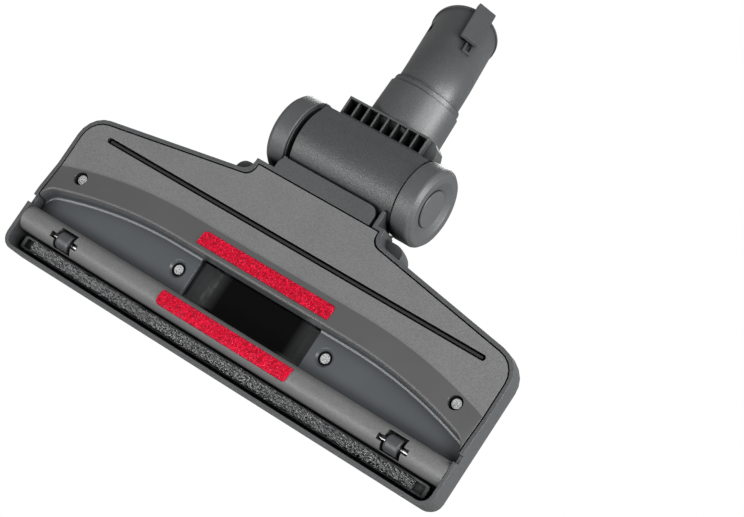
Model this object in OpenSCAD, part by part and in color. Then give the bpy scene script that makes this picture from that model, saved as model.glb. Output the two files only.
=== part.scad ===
// Combination floor head for a vacuum cleaner: a wide suction nozzle with front rollers, two large
// rear wheels on the neck hinge, pedal-lifted brushes and a swivelling elbow with a latch.
// Lengths are in millimetres. X runs across the head, Y from the front edge to the neck, Z up.

/* [Head] */
// Overall width of the head
head_w = 298; // [270:1:330]
// Roller axle line to the outer face of the front wall
front_reach = 19.4; // [18.8:0.2:22]
// Roller axle line to the rear corner of the wings
side_depth = 69.2; // [66:0.2:76]
// Roller axle line to where the rear edge of the wings meets the neck
root_depth = 86.3; // [84:0.1:90]
// Width of the head beside the wheels
neck_w = 88; // [80:1:96]
// Roller axle line to the rear edge of the neck
neck_depth = 94.2; // [93:0.1:94.5]
// Wall thickness of the housing
wall = 2.2; // [1.8:0.1:2.6]
// Visible gap round the sole plate
parting_gap = 0.8; // [0.3:0.1:0.9]
// Height of the upright skirt round the housing
skirt_h = 12; // [6:0.5:13]
// Height of the wing roof above the floor at the front
wing_front_h = 26; // [25.5:0.5:30]
// Height of the wing roof above the floor at the rear
wing_rear_h = 30; // [28:0.5:33]
// Height of the raised centre above the floor at its front
crown_front_h = 35; // [34.5:0.5:38]
// Height of the raised centre above the floor over the hinge
crown_rear_h = 42; // [41:0.5:43]

/* [Sole] */
// Height of the flat sole above the floor
sole_clearance = 5; // [4:0.25:6]
// Thickness of the sole plate
plate_t = 2.4; // [2:0.1:2.8]
// Depth of the suction channel above the flat sole
channel_depth = 8; // [7:0.25:8.5]
// How far the lips beside the mouth stand below the flat sole
lip_drop = 2.5; // [1.5:0.25:3.5]
// Width of the suction mouth
mouth_w = 83; // [70:1:86]
// Radius of the rounded front bar
bar_r = 7.4; // [6.8:0.1:7.6]
// Gap between the front bar and the floor
bar_clearance = 1; // [0.5:0.25:1.5]
// Length of each thread-lifting strip
lint_l = 90.5; // [70:0.5:100]
// Width of each thread-lifting strip
lint_w = 8.4; // [7:0.2:9]
// Length of the slot for the rear lip
rear_slot_l = 261; // [220:1:265]
// Width of the slot for the rear lip
rear_slot_w = 3.4; // [3.2:0.1:4]
// Roller axle line to the middle of the rear slot
rear_slot_y = 61.6; // [58:0.2:63]

/* [Rollers] */
// Radius of the front rollers
roller_r = 5; // [4.8:0.1:5.2]
// Width of the front rollers
roller_w = 8.5; // [8:0.5:10]
// Distance between the middles of the two front rollers
roller_span = 229.2; // [200:0.2:235]
// Radius of the steel roller pins
roller_pin_r = 1; // [0.8:0.1:1.2]
// Length of the steel roller pins
roller_pin_l = 19; // [17:0.5:21]

/* [Wheels and hinge] */
// Radius of the rear wheels
wheel_r = 23.3; // [23:0.1:23.8]
// Width of the rear wheels
wheel_w = 13.2; // [12.4:0.2:15]
// Roller axle line to the wheel axle
axle_y = 119; // [118.4:0.1:119.2]
// Radius of the steel stub axles
axle_r = 4; // [3:0.25:4.5]
// Length of the hinge barrel between the wheels
barrel_l = 69.2; // [68.6:0.2:69.6]
// Sideways offset of the barrel and the neck from the middle of the head
barrel_x = -5.5; // [-5.6:0.1:-5]
// Sideways offset of the pair of wheels from the middle of the head
wheel_x = -3.9; // [-4.2:0.1:-3.6]
// Outer radius of the hinge barrel
barrel_r = 22.3; // [22:0.1:22.5]
// Wall thickness of the barrel shells
barrel_wall = 2; // [1.6:0.1:2.2]

/* [Neck and elbow] */
// Height of the collar axis above the wheel axle
collar_rise = 12.7; // [11.5:0.2:14]
// Wheel axle to the rear end of the collar
collar_reach = 53.6; // [53:0.1:60]
// Outer radius of the collar
collar_r = 21.3; // [20.5:0.1:22]
// Number of lightening pockets under the neck
pocket_count = 8; // [4:1:10]
// Inner radius of the tube socket
socket_r = 17.5; // [16:0.1:17.6]
// Outer radius of the elbow tube
tube_r = 19.2; // [19:0.1:20]
// Bend angle of the elbow
elbow_bend = 38; // [20:1:45]
// Radius of the elbow bend along its axis
bend_r = 24; // [22:0.5:30]
// Length of the straight socket
socket_l = 42.5; // [38:0.5:50]
// Angle to which the elbow is swivelled from upright
elbow_swivel = 29; // [0:1:45]
// Width of the latch lever
latch_w = 11.5; // [9:0.5:12.5]
// Length of the latch lever
latch_l = 32; // [28:0.5:33]

/* [Brushes and pedal] */
// How far the brushes travel down
brush_travel = 5.4; // [4:0.1:5.4]
// Height of the raised bristle tips above the floor
bristle_tip_h = 6; // [5.6:0.1:6.5]
// Width of the brush holder
holder_w = 7.5; // [7:0.1:8]
// Thickness of the rubber rear lip
lip_t = 1.4; // [1:0.1:1.8]
// Width of the pedal
pedal_w = 44; // [36:1:46]
// Length of the pedal
pedal_l = 35; // [30:0.5:36]

/* [Hidden] */

$fn = 64;
eps = 0.01;
play = 0.3;        // running gap between pieces that move past each other
fit = 0.05;        // radial clearance of a pin in its hole
seat = 0.2;        // gap between pieces that are clamped or set in

// Heights above the floor
sole_z = sole_clearance;
plate_top = sole_z + plate_t;
lip_z = sole_z - lip_drop;
channel_z = sole_z + channel_depth;
channel_top = channel_z + plate_t;
skirt_top = sole_z + skirt_h;
axle_z = wheel_r;
collar_z = axle_z + collar_rise;

// Places across the head
half_w = head_w / 2;
neck_half = neck_w / 2;
barrel_half = barrel_l / 2;
wheel_in = barrel_half + 2;
collar_x = barrel_x - 0.5;

// Places along the head
bar_y = 1.25;
bar_z = bar_clearance + bar_r;
bar_wall = 2.2;
bar_front = bar_y - bar_r;
bar_rear = bar_y + bar_r;
tab_y = axle_y - 16.9;
hood_y = axle_y - 16.5;
collar_end = axle_y + collar_reach;
barrel_in = barrel_r - barrel_wall;
drum_r = barrel_in - play;
drum_wall = 2;
housing_cut_r = barrel_r + 0.8;
wheel_room = 1.2;

// Brush frame: holder in the front trough, rail in the rear slot, arms and bridge between them
holder_y = -11.3;
holder_half = half_w - wall - 5.3;
holder_z = bristle_tip_h + 3;
holder_h = 5;
groove_half = 2.6;
holder_slots = [51.8, 91.8];
arm_x = 60;
arm_w = 4;
arm_t = 2.5;
arm_z = channel_top + brush_travel + play + 0.2;
rail_w = rear_slot_w - 2 * play;
rail_z = plate_top + 1.6;
rail_top = rail_z + 4;
rail_half = rear_slot_l / 2 - 2;

// Air duct from the mouth to the tunnel of the hinge drum
duct_wall = 1.8;
duct_half = mouth_w / 2 + 2.5;
duct_floor = max(rail_top + seat, channel_z + 0.6);
duct_roof = 24;
duct_start = 35;
duct_flare_y = rear_slot_y + 0.4;
duct_end = 84;
tunnel_half = 24.2;
tunnel_half_h = 9.7;
drum_top = axle_z + tunnel_half_h;
drum_bottom = axle_z - tunnel_half_h;

// Bridge over the duct, which the pedal's crank moves
bridge_y = 50;
bridge_half = duct_half + 1.5;
bridge_z = duct_roof + brush_travel + 1.1;
crank_pin_r = 1.5;
crank_y = bridge_y + 5;
crank_z = bridge_z + 2;

// The origin lies on the floor under the middle of the overall length
swivel_ring_t = 3;
elbow_start = collar_end + 2 * seat + swivel_ring_t;
rim_r = tube_r + 0.7;
rim_y = elbow_start + (bend_r * sin(elbow_bend) + socket_l * cos(elbow_bend));
latch_turn = 6;
latch_gap = 1.3;
latch_z = tube_r + 0.7 + latch_gap;
latch_t = 2.4;
latch_out = 1.5;
latch_drop = (latch_z + latch_t) * cos(latch_turn) + (latch_w / 2 - 0.4) * sin(latch_turn);
latch_end_y = rim_y + latch_out * cos(elbow_bend) + latch_drop * sin(elbow_bend);
rear_end = max(latch_end_y, rim_y + rim_r * sin(elbow_bend));
origin_y = (rear_end - front_reach) / 2;

// ---- shared shapes ----

// Points of the arc that rounds corner b between its neighbours a and c
function unit(v) = v / norm(v);
function corner_arc(a, b, c, r, n) =
    let (
        u = unit(a - b),
        v = unit(c - b),
        half = acos(max(-1, min(1, u * v))) / 2,
        reach = r / tan(half),
        centre = b + unit(u + v) * (r / sin(half)),
        p = b + u * reach - centre,
        q = b + v * reach - centre,
        start = atan2(p.y, p.x),
        sweep = ((atan2(q.y, q.x) - start) % 360 + 540) % 360 - 180
    )
    [for (i = [0:n]) centre + r * [cos(start + sweep * i / n), sin(start + sweep * i / n)]];

// Closed outline through corners [x, y, radius], each rounded by its own radius
function rounded(corners, n = 5) = [
    for (i = [0:len(corners) - 1])
        let (
            m = len(corners),
            a = corners[(i + m - 1) % m],
            b = corners[i],
            c = corners[(i + 1) % m]
        )
        each corner_arc([a.x, a.y], [b.x, b.y], [c.x, c.y], b.z, n)
];

// The same corners moved inwards by t, with radii that shrink so that neighbouring arcs never meet
function inset(corners, t, least = 0.6) = [
    for (i = [0:len(corners) - 1])
        let (
            m = len(corners),
            a = corners[(i + m - 1) % m],
            b = corners[i],
            c = corners[(i + 1) % m],
            e = unit([b.x - a.x, b.y - a.y]),
            f = unit([c.x - b.x, c.y - b.y]),
            turn = e.x * f.y - e.y * f.x,
            shift = [-e.y - f.y, e.x + f.x] * (t / (1 + e * f))
        )
        [b.x + shift.x, b.y + shift.y, turn > 0 ? max(least, b.z - t) : b.z - 0.15 * t]
];

// Right-hand corners, from the front round to the rear, completed with their mirror image
function mirrored(right) = concat(right, [for (i = [len(right) - 1:-1:0]) [-right[i].x, right[i].y, right[i].z]]);

// Solid between rings of equal point count, closed by a flat face at each end
module skin(rings) {
    n = len(rings[0]);
    m = len(rings);
    polyhedron(
        points = [for (r = rings) each r],
        faces = concat(
            [[for (i = [0:n - 1]) i]],
            [for (k = [0:m - 2], i = [0:n - 1])
                each let (a = k * n + i, b = k * n + (i + 1) % n)
                    [[a, a + n, b], [b, a + n, b + n]]],
            [[for (i = [n - 1:-1:0]) (m - 1) * n + i]]
        )
    );
}

// Housing form: an upright skirt, then a rounded shoulder up to a roof that slopes along Y
module dome(corners, z_low, z_skirt, run, roof, t, steps = 5) {
    function ring(a) = [
        for (p = rounded(inset(corners, t + run * (1 - cos(a)))))
            [p.x, p.y, z_skirt + (roof_height(roof, p.y) - t - z_skirt) * sin(a)]
    ];
    skin(concat(
        [[for (p = rounded(inset(corners, t))) [p.x, p.y, z_low]]],
        [for (k = [0:steps]) ring(90 * k / steps)]
    ));
}

// Height of a sloping roof [y1, z1, y2, z2] at y
function roof_height(roof, y) = roof[1] + (roof[3] - roof[1]) * (y - roof[0]) / (roof[2] - roof[0]);

module prism(points, z0, z1) {
    translate([0, 0, z0]) linear_extrude(z1 - z0) polygon(points);
}

// Cylinder along X from x0 to x1
module x_rod(r, x0, x1, y, z) {
    translate([x0, y, z]) rotate([0, 90, 0]) cylinder(r = r, h = x1 - x0);
}

// Profile drawn in [y, z] and extruded along X from x0 to x1
module x_profile(x0, x1) {
    translate([x0, 0, 0]) rotate([90, 0, 90]) linear_extrude(x1 - x0) children();
}

// Box from its low corner to its high corner
module block(low, high) {
    translate(low) cube(high - low);
}

module both_sides() {
    children();
    mirror([1, 0, 0]) children();
}

// Frame of the barrel and the neck, a little off the middle of the head
module at_barrel() {
    translate([barrel_x, 0, 0]) children();
}

// Everything is drawn about the roller axle line, then moved so that the origin is central
module placed() {
    translate([0, -origin_y, 0]) children();
}

// ---- outlines of the head ----

side_corner_r = 16;
front_corner_r = 8;
wing_corners = mirrored([
    [half_w, -front_reach, front_corner_r],
    [half_w, side_depth, side_corner_r],
    [neck_half, root_depth, 7],
    [neck_half, neck_depth, 0.6]
]);
plate_inset = wall + parting_gap;
wing_roof = [0, wing_front_h, side_depth, wing_rear_h];
wing_run = 10;

// The raised centre covers the duct and pedal works, and narrows between the wheels
crown_front_y = 24;
crown_neck_half = wheel_in - 1.8;
crown_corners = [
    [52, crown_front_y, 14],
    [62, root_depth - 4, 12],
    [wheel_x + crown_neck_half, root_depth - 2, 4],
    [wheel_x + crown_neck_half, hood_y + 10, 3],
    [wheel_x - crown_neck_half, hood_y + 10, 3],
    [wheel_x - crown_neck_half, root_depth - 2, 4],
    [-62, root_depth - 4, 12],
    [-52, crown_front_y, 14]
];
crown_roof = [crown_front_y, crown_front_h, hood_y, crown_rear_h];
crown_run = 8;

// Rear edge of the suction channel and front edge of the flat sole, both symmetric in x
mouth_front = bar_rear + 0.15;
mouth_rear = 32.6;
channel_rear = 33.5;
bend_from = 60;
function sweep_in(x, drop) = drop * pow(max(0, abs(x) - bend_from) / (half_w - plate_inset - bend_from), 2);
end_r = 6;
function end_in(x) = end_r - sqrt(pow(end_r, 2) - pow(min(end_r - 0.2, max(0, abs(x) - plate_half + end_r)), 2));
function channel_edge(x) = channel_rear - sweep_in(x, 14) - end_in(x);
function bevel_edge(x) = 50 - sweep_in(x, 13);

// ---- screws and bosses ----

inner_screw = [51.4, 20.4];
outer_screw = [130, 34.7];
screw_head_r = 2.75;
screw_hole_r = 4.1;
screw_head_t = 2.2;
screw_shank_r = 1.5;
inner_screw_l = 8.5;
outer_screw_l = 11;
boss_r = 4.2;
cup_wall = 1.8;
inner_head_z = channel_z + 1.5;
outer_head_z = sole_z + 1.4;

// Screw places as [x, y, height of the head's visible face, length of the shank]
screw_places = [
    for (s = [-1, 1]) [s * inner_screw.x, inner_screw.y, inner_head_z, inner_screw_l],
    for (s = [-1, 1]) [s * outer_screw.x, outer_screw.y, outer_head_z, outer_screw_l]
];
function cup_top(p) = p.z + screw_head_t + seat + cup_wall;

module screw(z, length) {
    translate([0, 0, z]) difference() {
        union() {
            intersection() {
                cylinder(r = screw_head_r, h = screw_head_t);
                translate([0, 0, 4.3]) sphere(r = 5.1);
            }
            translate([0, 0, screw_head_t - 0.5]) cylinder(r = screw_shank_r, h = length + 0.5);
        }
        for (a = [0, 90])
            rotate([0, 0, a]) translate([-2.1, -0.45, -1]) cube([4.2, 0.9, 1 + 1.3]);
    }
}

module sole_screws() {
    placed() color("gainsboro")
        for (p = screw_places) translate([p.x, p.y, 0]) rotate([0, 0, 20]) screw(p.z, p[3]);
}

// ---- housing ----

module housing_form(t, lowest) {
    dome(wing_corners, lowest, skirt_top, wing_run, wing_roof, t);
    dome(crown_corners, lowest, skirt_top, crown_run, crown_roof, t);
    dome(fender_corners, fender_low + t, skirt_top, 6, fender_roof, t);
}

// Shoulders of the raised centre that overhang the rear edge of the wings in front of the wheels
fender_corners = mirrored([[52, 50, 10], [58, root_depth + 5.2, 6]]);
fender_low = sole_z + 8;
fender_roof = [crown_front_y, crown_front_h - 2, hood_y, crown_rear_h - 4];

// Pedal well, parallel to the sloping roof of the raised centre
pedal_y = axle_y - 38.5;
pedal_t = 3;
well_gap = 0.6;
well_depth = pedal_t + 2.5;
well_floor_t = 1.6;
pedal_pin_r = 1.5;
pin_drop = 3.5;
pedal_pin_z = roof_height(crown_roof, pedal_y) - pin_drop;
crown_slope = atan((crown_rear_h - crown_front_h) / (hood_y - crown_front_y));

module over_roof() {
    translate([0, pedal_y, roof_height(crown_roof, pedal_y)]) rotate([crown_slope, 0, 0]) children();
}

module pedal_well(grow, depth) {
    half_x = pedal_w / 2 + well_gap + grow;
    half_y = pedal_l / 2 + well_gap + grow;
    over_roof() translate([-half_x, -half_y, -depth]) cube([2 * half_x, 2 * half_y, depth + 12]);
}

module well_walls() {
    half_x = pedal_w / 2 + well_gap + wall;
    half_y = pedal_l / 2 + well_gap + wall;
    depth = well_depth + well_floor_t;
    over_roof() translate([-half_x, -half_y, -depth]) cube([2 * half_x, 2 * half_y, depth - wall / 2]);
}

// Lower edge of the skirt beside the front bar
rim_low = bar_clearance + 0.4;

// Shell of the housing with its ribs and the pedal's well, before any hole is bored
module housing_shell() {
    minkowski() difference() {
        union() {
            difference() {
                housing_form(0, rim_low);
                housing_form(wall, rim_low - 1);
                x_profile(-half_w - 1, half_w + 1) polygon([
                    [inlet_rear, -1], [inlet_rear, lip_z], [inlet_rear + 5, lip_z], [bevel_edge(half_w), sole_z],
                    [200, sole_z], [200, -1]
                ]);
            }
            well_walls();
            housing_ribs();
            rear_tab();
        }
        pedal_well(0, well_depth);
        crank_slot();
        block([-60, hood_y, -1], [60, hood_y + 40, 80]);
    }
}

function wing_roof_z(y) = roof_height(wing_roof, y);

module top_housing() {
    placed() color("#4b4c4e") difference() {
        union() {
            housing_shell();
            for (p = screw_places)
                translate([p.x, p.y, cup_top(p)]) cylinder(r = boss_r, h = wing_roof_z(p.y) - wall / 2 - cup_top(p));
        }
        x_rod(pedal_pin_r + fit, -pedal_w / 2 - 3.4, pedal_w / 2 + 3.4, pedal_y, pedal_pin_z);
        for (p = screw_places)
            translate([p.x, p.y, 0]) cylinder(r = screw_shank_r + fit, h = p.z + screw_head_t + p[3] + 0.5);
        both_sides() block([half_w - wall - 1, bar_rear, 0], [half_w + 1, inlet_rear, inlet_z]);
        barrel_clearance();
        wheel_arches();
    }
}

// Flat lip that closes the housing's underside in front of the hinge barrel
module rear_tab() {
    tab_half = barrel_half - 1.3;
    difference() {
        translate([-1, 0, 0]) prism(rounded(mirrored([
            [tab_half, neck_depth - 2 * wall, 1],
            [tab_half, tab_y, 5]
        ])), sole_z, sole_z + wall);
        prism(rounded(inset(plate_corners, -parting_gap)), sole_z - 1, sole_z + wall + 1);
    }
}

// Room for the hinge barrel, which swings inside this radius
module barrel_clearance() {
    at_barrel() x_rod(housing_cut_r, -barrel_half - 0.4, barrel_half + 0.4, axle_y, axle_z);
}

// Room for the two wheels
module wheel_arches() {
    translate([wheel_x, 0, 0]) both_sides()
        x_rod(wheel_r + wheel_room, wheel_in - 0.6, wheel_in + wheel_w + 1, axle_y, axle_z);
}

// Slot in the well floor and its front wall for the pedal's crank and the tabs that it moves
module crank_slot() {
    front = pedal_y - pedal_l / 2 - well_gap - wall;
    block([-10, front - 0.5, 26], [10, pedal_y + 6, roof_height(crown_roof, front) - wall]);
}

// Ribs that press the sole plate and the duct down, and clip the plate's edges
module housing_ribs() {
    for (x = [-100, -82, 82, 100])
        block([x - 0.9, 46, plate_top + seat], [x + 0.9, rear_slot_y - 4, wing_roof_z(46) - wall / 2]);
    for (s = [-1, 1], y = [duct_end - 2, duct_end + 3.5])
        block([s * 20 - 1, y, drum_top + seat], [s * 20 + 1, y + 2, roof_height(crown_roof, y) - wall / 2]);
}

// ---- sole plate ----

plate_corners = inset(wing_corners, plate_inset);
plate_half = half_w - plate_inset;
bar_half = half_w - wall - seat;
inlet_rear = 13.6;
inlet_z = sole_z + 0.2;

// Section of the moulded sheet at x: bevel, lip, channel wall and channel floor, closed over the top
function sheet_section(x) =
    let (e = channel_edge(x), b = bevel_edge(x), back = neck_depth + 10)
    [
        [x, back, sole_z], [x, b, sole_z], [x, e + 1.6, lip_z], [x, e + 0.5, lip_z + 0.2],
        [x, e, lip_z + 0.9], [x, e - 0.7, channel_z - 1.6], [x, e - 1.4, channel_z - 0.4],
        [x, e - 2.6, channel_z], [x, bar_rear - 1, channel_z],
        [x, bar_rear - 1, channel_top], [x, e + 1.2, channel_top], [x, e + 2.6, plate_top],
        [x, back, plate_top]
    ];

sheet_steps = 10;
end_steps = 7;
half_stations = [
    plate_half + 1,
    for (i = [0:end_steps - 1]) plate_half - end_r * (1 - cos(90 * i / end_steps)),
    for (i = [0:sheet_steps]) plate_half - end_r - (plate_half - end_r - bend_from) * i / sheet_steps
];
sheet_stations = concat(half_stations, [for (i = [len(half_stations) - 1:-1:0]) -half_stations[i]]);

module sheet() {
    minkowski() intersection() {
        skin([for (x = sheet_stations) sheet_section(x)]);
        prism(rounded(plate_corners), -1, channel_top + 1);
    }
}

// Rounded bar across the front, open above like a gutter, with closed ends
module front_bar() {
    low_wall = min(bar_z + 0.6, holder_z + holder_h - brush_travel - play);
    for (s = [-1, 1])
        x_profile(s * (bar_half - 1.2) - 1, s * (bar_half - 1.2) + 1)
            translate([bar_y, bar_z]) circle(r = bar_r - bar_wall / 2);
    x_profile(-bar_half, bar_half) difference() {
        union() {
            translate([bar_y, bar_z]) circle(r = bar_r);
            translate([bar_rear - bar_wall, bar_z]) square([bar_wall, channel_top - bar_z - 0.3]);
        }
        translate([bar_y, bar_z]) circle(r = bar_r - bar_wall);
        translate([bar_front + bar_wall, bar_z]) square([2 * (bar_r - bar_wall), 2 * bar_r]);
        translate([bar_front - 1, low_wall]) square([bar_wall + 1.5, bar_r]);
    }
}

roller_x = roller_span / 2;
roller_z = roller_r;
pocket_half = roller_w / 2 + 2;
roller_block_half = roller_pin_l / 2 + 2.2;
slot_half = roller_pin_r + 0.7;

module roller_blocks() {
    for (s = [-1, 1])
        x_profile(s * roller_x - roller_block_half, s * roller_x + roller_block_half) intersection() {
            translate([bar_y, bar_z]) circle(r = bar_r - bar_wall / 2);
            translate([-20, 0]) square([40, bar_z + 1.2]);
        }
}

module roller_cuts() {
    for (s = [-1, 1]) {
        block([s * roller_x - pocket_half, -roller_r - 0.6, -1], [s * roller_x + pocket_half, roller_r + 1.2, 12]);
        x_profile(s * roller_x - roller_pin_l / 2 - seat, s * roller_x + roller_pin_l / 2 + seat) polygon([
            [-roller_pin_r - fit, roller_z], [-slot_half, roller_z - 0.8], [-slot_half, -1],
            [slot_half, -1], [slot_half, roller_z - 0.8], [roller_pin_r + fit, roller_z]
        ]);
        x_rod(roller_pin_r + fit, s * roller_x - roller_pin_l / 2 - seat,
            s * roller_x + roller_pin_l / 2 + seat, 0, roller_z);
    }
}

// Cups that stand up from the channel floor or the flat sole round the screw heads
module screw_cups() {
    for (p = screw_places) {
        foot = p.z > channel_z ? channel_z + 0.3 : plate_top - 0.6;
        translate([p.x, p.y, foot]) cylinder(r = screw_hole_r + 2.1, h = cup_top(p) - seat - foot);
    }
}

module screw_cup_cuts() {
    for (p = screw_places) translate([p.x, p.y, 0]) {
        cylinder(r = screw_hole_r, h = p.z + screw_head_t + seat);
        cylinder(r = screw_shank_r + 0.4, h = 40);
        if (p.z > channel_z) translate([0, 0, p.z - 2.2]) cylinder(r1 = screw_hole_r + 1.9, r2 = screw_hole_r - 0.1, h = 2);
    }
}

module sole_plate() {
    placed() color("#505153") difference() {
        union() {
            sheet();
            front_bar();
            roller_blocks();
            screw_cups();
        }
        roller_cuts();
        screw_cup_cuts();
        prism(rounded(mirrored([[mouth_w / 2, mouth_front, 1.2], [mouth_w / 2, mouth_rear, 1.2]])), 3, 40);
        prism(slot_outline(rear_slot_l, rear_slot_w, rear_slot_y), 0, 20);
        front_lint_place(lint_l + 2 * seat, lint_seat, bar_r + 2);
        rear_lint_place(lint_l + 2 * seat, -lint_seat, 3, seat);
    }
}

function slot_outline(length, width, y) = rounded([
    [-length / 2, y - width / 2, width / 2 - 0.05], [length / 2, y - width / 2, width / 2 - 0.05],
    [length / 2, y + width / 2, width / 2 - 0.05], [-length / 2, y + width / 2, width / 2 - 0.05]
]);

// ---- thread-lifting strips ----

lint_seat = 0.8;
lint_proud = 0.25;
front_lint_y = 1.85;
rear_lint_y = 41.3;

// Slice of a tube about the bar's axis, from depth under the bar's face to the given radius
module front_lint_place(length, depth, r_out) {
    half = lint_w / 2 + (r_out > bar_r + 1 ? seat : 0);
    intersection() {
        x_profile(-length / 2, length / 2) difference() {
            translate([bar_y, bar_z]) circle(r = r_out);
            translate([bar_y, bar_z]) circle(r = bar_r - depth);
            translate([bar_y - 20, bar_z]) square([40, 20]);
        }
        prism(rounded([
            [-length / 2, front_lint_y - half, 2.5], [length / 2, front_lint_y - half, 2.5],
            [length / 2, front_lint_y + half, 0.5], [-length / 2, front_lint_y + half, 0.5]
        ]), -5, bar_z);
    }
}

// Slab parallel to the bevel; z is measured square to it, and negative is into the plate
module rear_lint_place(length, z_in, z_out, grow) {
    half = lint_w / 2 + grow;
    rise = atan(lip_drop / (bevel_edge(0) - channel_rear - 1.6));
    translate([0, channel_rear + 1.6, lip_z]) rotate([rise, 0, 0])
        translate([0, (rear_lint_y - channel_rear - 1.6) / cos(rise), 0])
            prism(rounded([
                [-length / 2, -half, 0.5], [length / 2, -half, 0.5],
                [length / 2, half, 2.5], [-length / 2, half, 2.5]
            ]), -z_out, -z_in);
}

module front_lint_strip() {
    placed() color("#b3122c") front_lint_place(lint_l, lint_seat, bar_r + lint_proud);
}

module rear_lint_strip() {
    placed() color("#b3122c") rear_lint_place(lint_l, -lint_seat, lint_proud, 0);
}

// ---- air duct ----

// Outer form, or the air passage inside it when t is the wall
module duct_form(t) {
    end = t > 0 ? 1 : 0;
    hull() {
        block([-duct_half + t, duct_start, duct_floor + t], [duct_half - t, duct_start + 1, duct_roof - t]);
        block([-duct_half + 8 + t, duct_flare_y, duct_floor + t], [duct_half - 8 - t, duct_flare_y + 1, duct_roof - t]);
    }
    hull() {
        block([-duct_half + 8 + t, duct_flare_y, duct_floor + t], [duct_half - 8 - t, duct_flare_y + 1, duct_roof - t]);
        block([-tunnel_half + t, duct_end - 1, duct_floor + t], [tunnel_half - t, duct_end + end, drum_top - t]);
    }
}

module air_duct() {
    placed() color("#1b1b1c") difference() {
        union() {
            duct_form(0);
            block([-duct_half, bar_rear + seat, channel_top + seat], [duct_half, duct_start + 1, duct_roof]);
        }
        duct_form(duct_wall);
        difference() {
            block([-duct_half + duct_wall, bar_rear + seat + duct_wall, channel_top - 1],
                [duct_half - duct_wall, duct_start + 1.5, duct_roof - duct_wall]);
            mouth_ends();
        }
    }
}

// Ends of the mouth that turn the air inwards: a scooped one on the right, a stepped one on the left
module mouth_ends() {
    roof = duct_roof - duct_wall + eps;
    low = channel_top + 1.5;
    translate([0, mouth_rear - 1, 0]) rotate([90, 0, 0]) linear_extrude(mouth_rear - bar_rear) {
        polygon([
            [duct_half, low], [duct_half - 4, low], [duct_half - 7, low + 0.9], [duct_half - 10.5, low + 2.6],
            [duct_half - 14, roof - 0.8], [duct_half - 18, roof], [duct_half, roof]
        ]);
        polygon([
            [-duct_half, low], [-duct_half + 5, low], [-duct_half + 5, low + 2], [-duct_half + 11, low + 2],
            [-duct_half + 11, roof], [-duct_half, roof]
        ]);
    }
}

// ---- hinge drum, fixed in the head ----

drum_half = barrel_half - barrel_wall - 2 * play;
drum_disc_t = 2;
pin_boss_r = axle_r + 3;
pin_boss_l = 6;

// Profile drawn in [radius, x], swept about the hinge axis between two angles from +Y towards +Z
module hinge_sweep(a0, a1) {
    translate([barrel_x, axle_y, axle_z]) rotate([90, 0, 90]) rotate([0, 0, a0]) rotate_extrude(angle = a1 - a0)
        children();
}

module arc_profile(r_in, r_out, half) {
    translate([r_in, -half]) square([r_out - r_in, 2 * half]);
}

module hinge_drum() {
    front_a = asin(tunnel_half_h / drum_r);
    placed() color("#2a2b2c") difference() {
        union() {
            hinge_sweep(86, 181 - front_a) arc_profile(drum_r - drum_wall, drum_r, drum_half);
            hinge_sweep(179 + front_a, 298) arc_profile(drum_r - drum_wall, drum_r, drum_half);
            at_barrel() both_sides() {
                x_rod(drum_r - drum_wall / 2, drum_half - drum_disc_t, drum_half, axle_y, axle_z);
                x_rod(pin_boss_r, drum_half - pin_boss_l, drum_half, axle_y, axle_z);
            }
            difference() {
                union() {
                    block([-tunnel_half, duct_end + seat + gasket_t, drum_bottom], [tunnel_half, axle_y - 16, drum_top]);
                    block([-tunnel_half, duct_end + seat + gasket_t, plate_top + seat], [tunnel_half, duct_end + 5, drum_bottom + 1]);
                }
                at_barrel() x_rod(drum_r - drum_wall + 0.4, -drum_half, drum_half, axle_y, axle_z);
            }
        }
        block([-tunnel_half + duct_wall, duct_end, drum_bottom + duct_wall], [tunnel_half - duct_wall, axle_y - 10, drum_top - duct_wall]);
        at_barrel() both_sides() x_rod(axle_r + fit, drum_half - pin_boss_l + 1, drum_half + 1, axle_y, axle_z);
        block([-tunnel_half + 4, duct_end - 1, plate_top - 1], [tunnel_half - 4, duct_end + 9, drum_bottom - 2]);
    }
}

gasket_t = 1.2;
module duct_gasket() {
    placed() color("#3a3a3a") difference() {
        block([-tunnel_half, duct_end + seat / 2, drum_bottom], [tunnel_half, duct_end + seat / 2 + gasket_t, drum_top]);
        block([-tunnel_half + duct_wall, duct_end - 1, drum_bottom + duct_wall],
            [tunnel_half - duct_wall, duct_end + 3, drum_top - duct_wall]);
    }
}

// ---- axles, rollers and wheels ----

hub_face = wheel_in + wheel_w;
washer_x = hub_face - 6;
washer_t = 1;

module axle_pins() {
    drum_end = drum_half - pin_boss_l + 1 + seat;
    wheel_end = washer_x + washer_t + 1.2;
    placed() color("silver") {
        x_rod(axle_r, barrel_x + drum_end, wheel_x + wheel_end, axle_y, axle_z);
        x_rod(axle_r, wheel_x - wheel_end, barrel_x - drum_end, axle_y, axle_z);
    }
}

module axle_washers() {
    placed() translate([wheel_x, 0, 0]) color("gainsboro") both_sides() difference() {
        x_rod(axle_r + 2.8, washer_x, washer_x + washer_t, axle_y, axle_z);
        x_rod(axle_r + fit, washer_x - 1, washer_x + washer_t + 1, axle_y, axle_z);
    }
}

module roller_pins() {
    placed() color("gainsboro") for (s = [-1, 1])
        x_rod(roller_pin_r, s * roller_x - roller_pin_l / 2, s * roller_x + roller_pin_l / 2, 0, roller_z);
}

module roller(x) {
    crown = 0.4;
    placed() color("#3c3d3f") translate([x, 0, roller_z]) rotate([0, 90, 0]) rotate_extrude()
        polygon([
            [roller_pin_r + fit, -roller_w / 2], [roller_r - crown, -roller_w / 2],
            [roller_r, -roller_w / 2 + 1], [roller_r, roller_w / 2 - 1],
            [roller_r - crown, roller_w / 2], [roller_pin_r + fit, roller_w / 2]
        ]);
}

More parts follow.
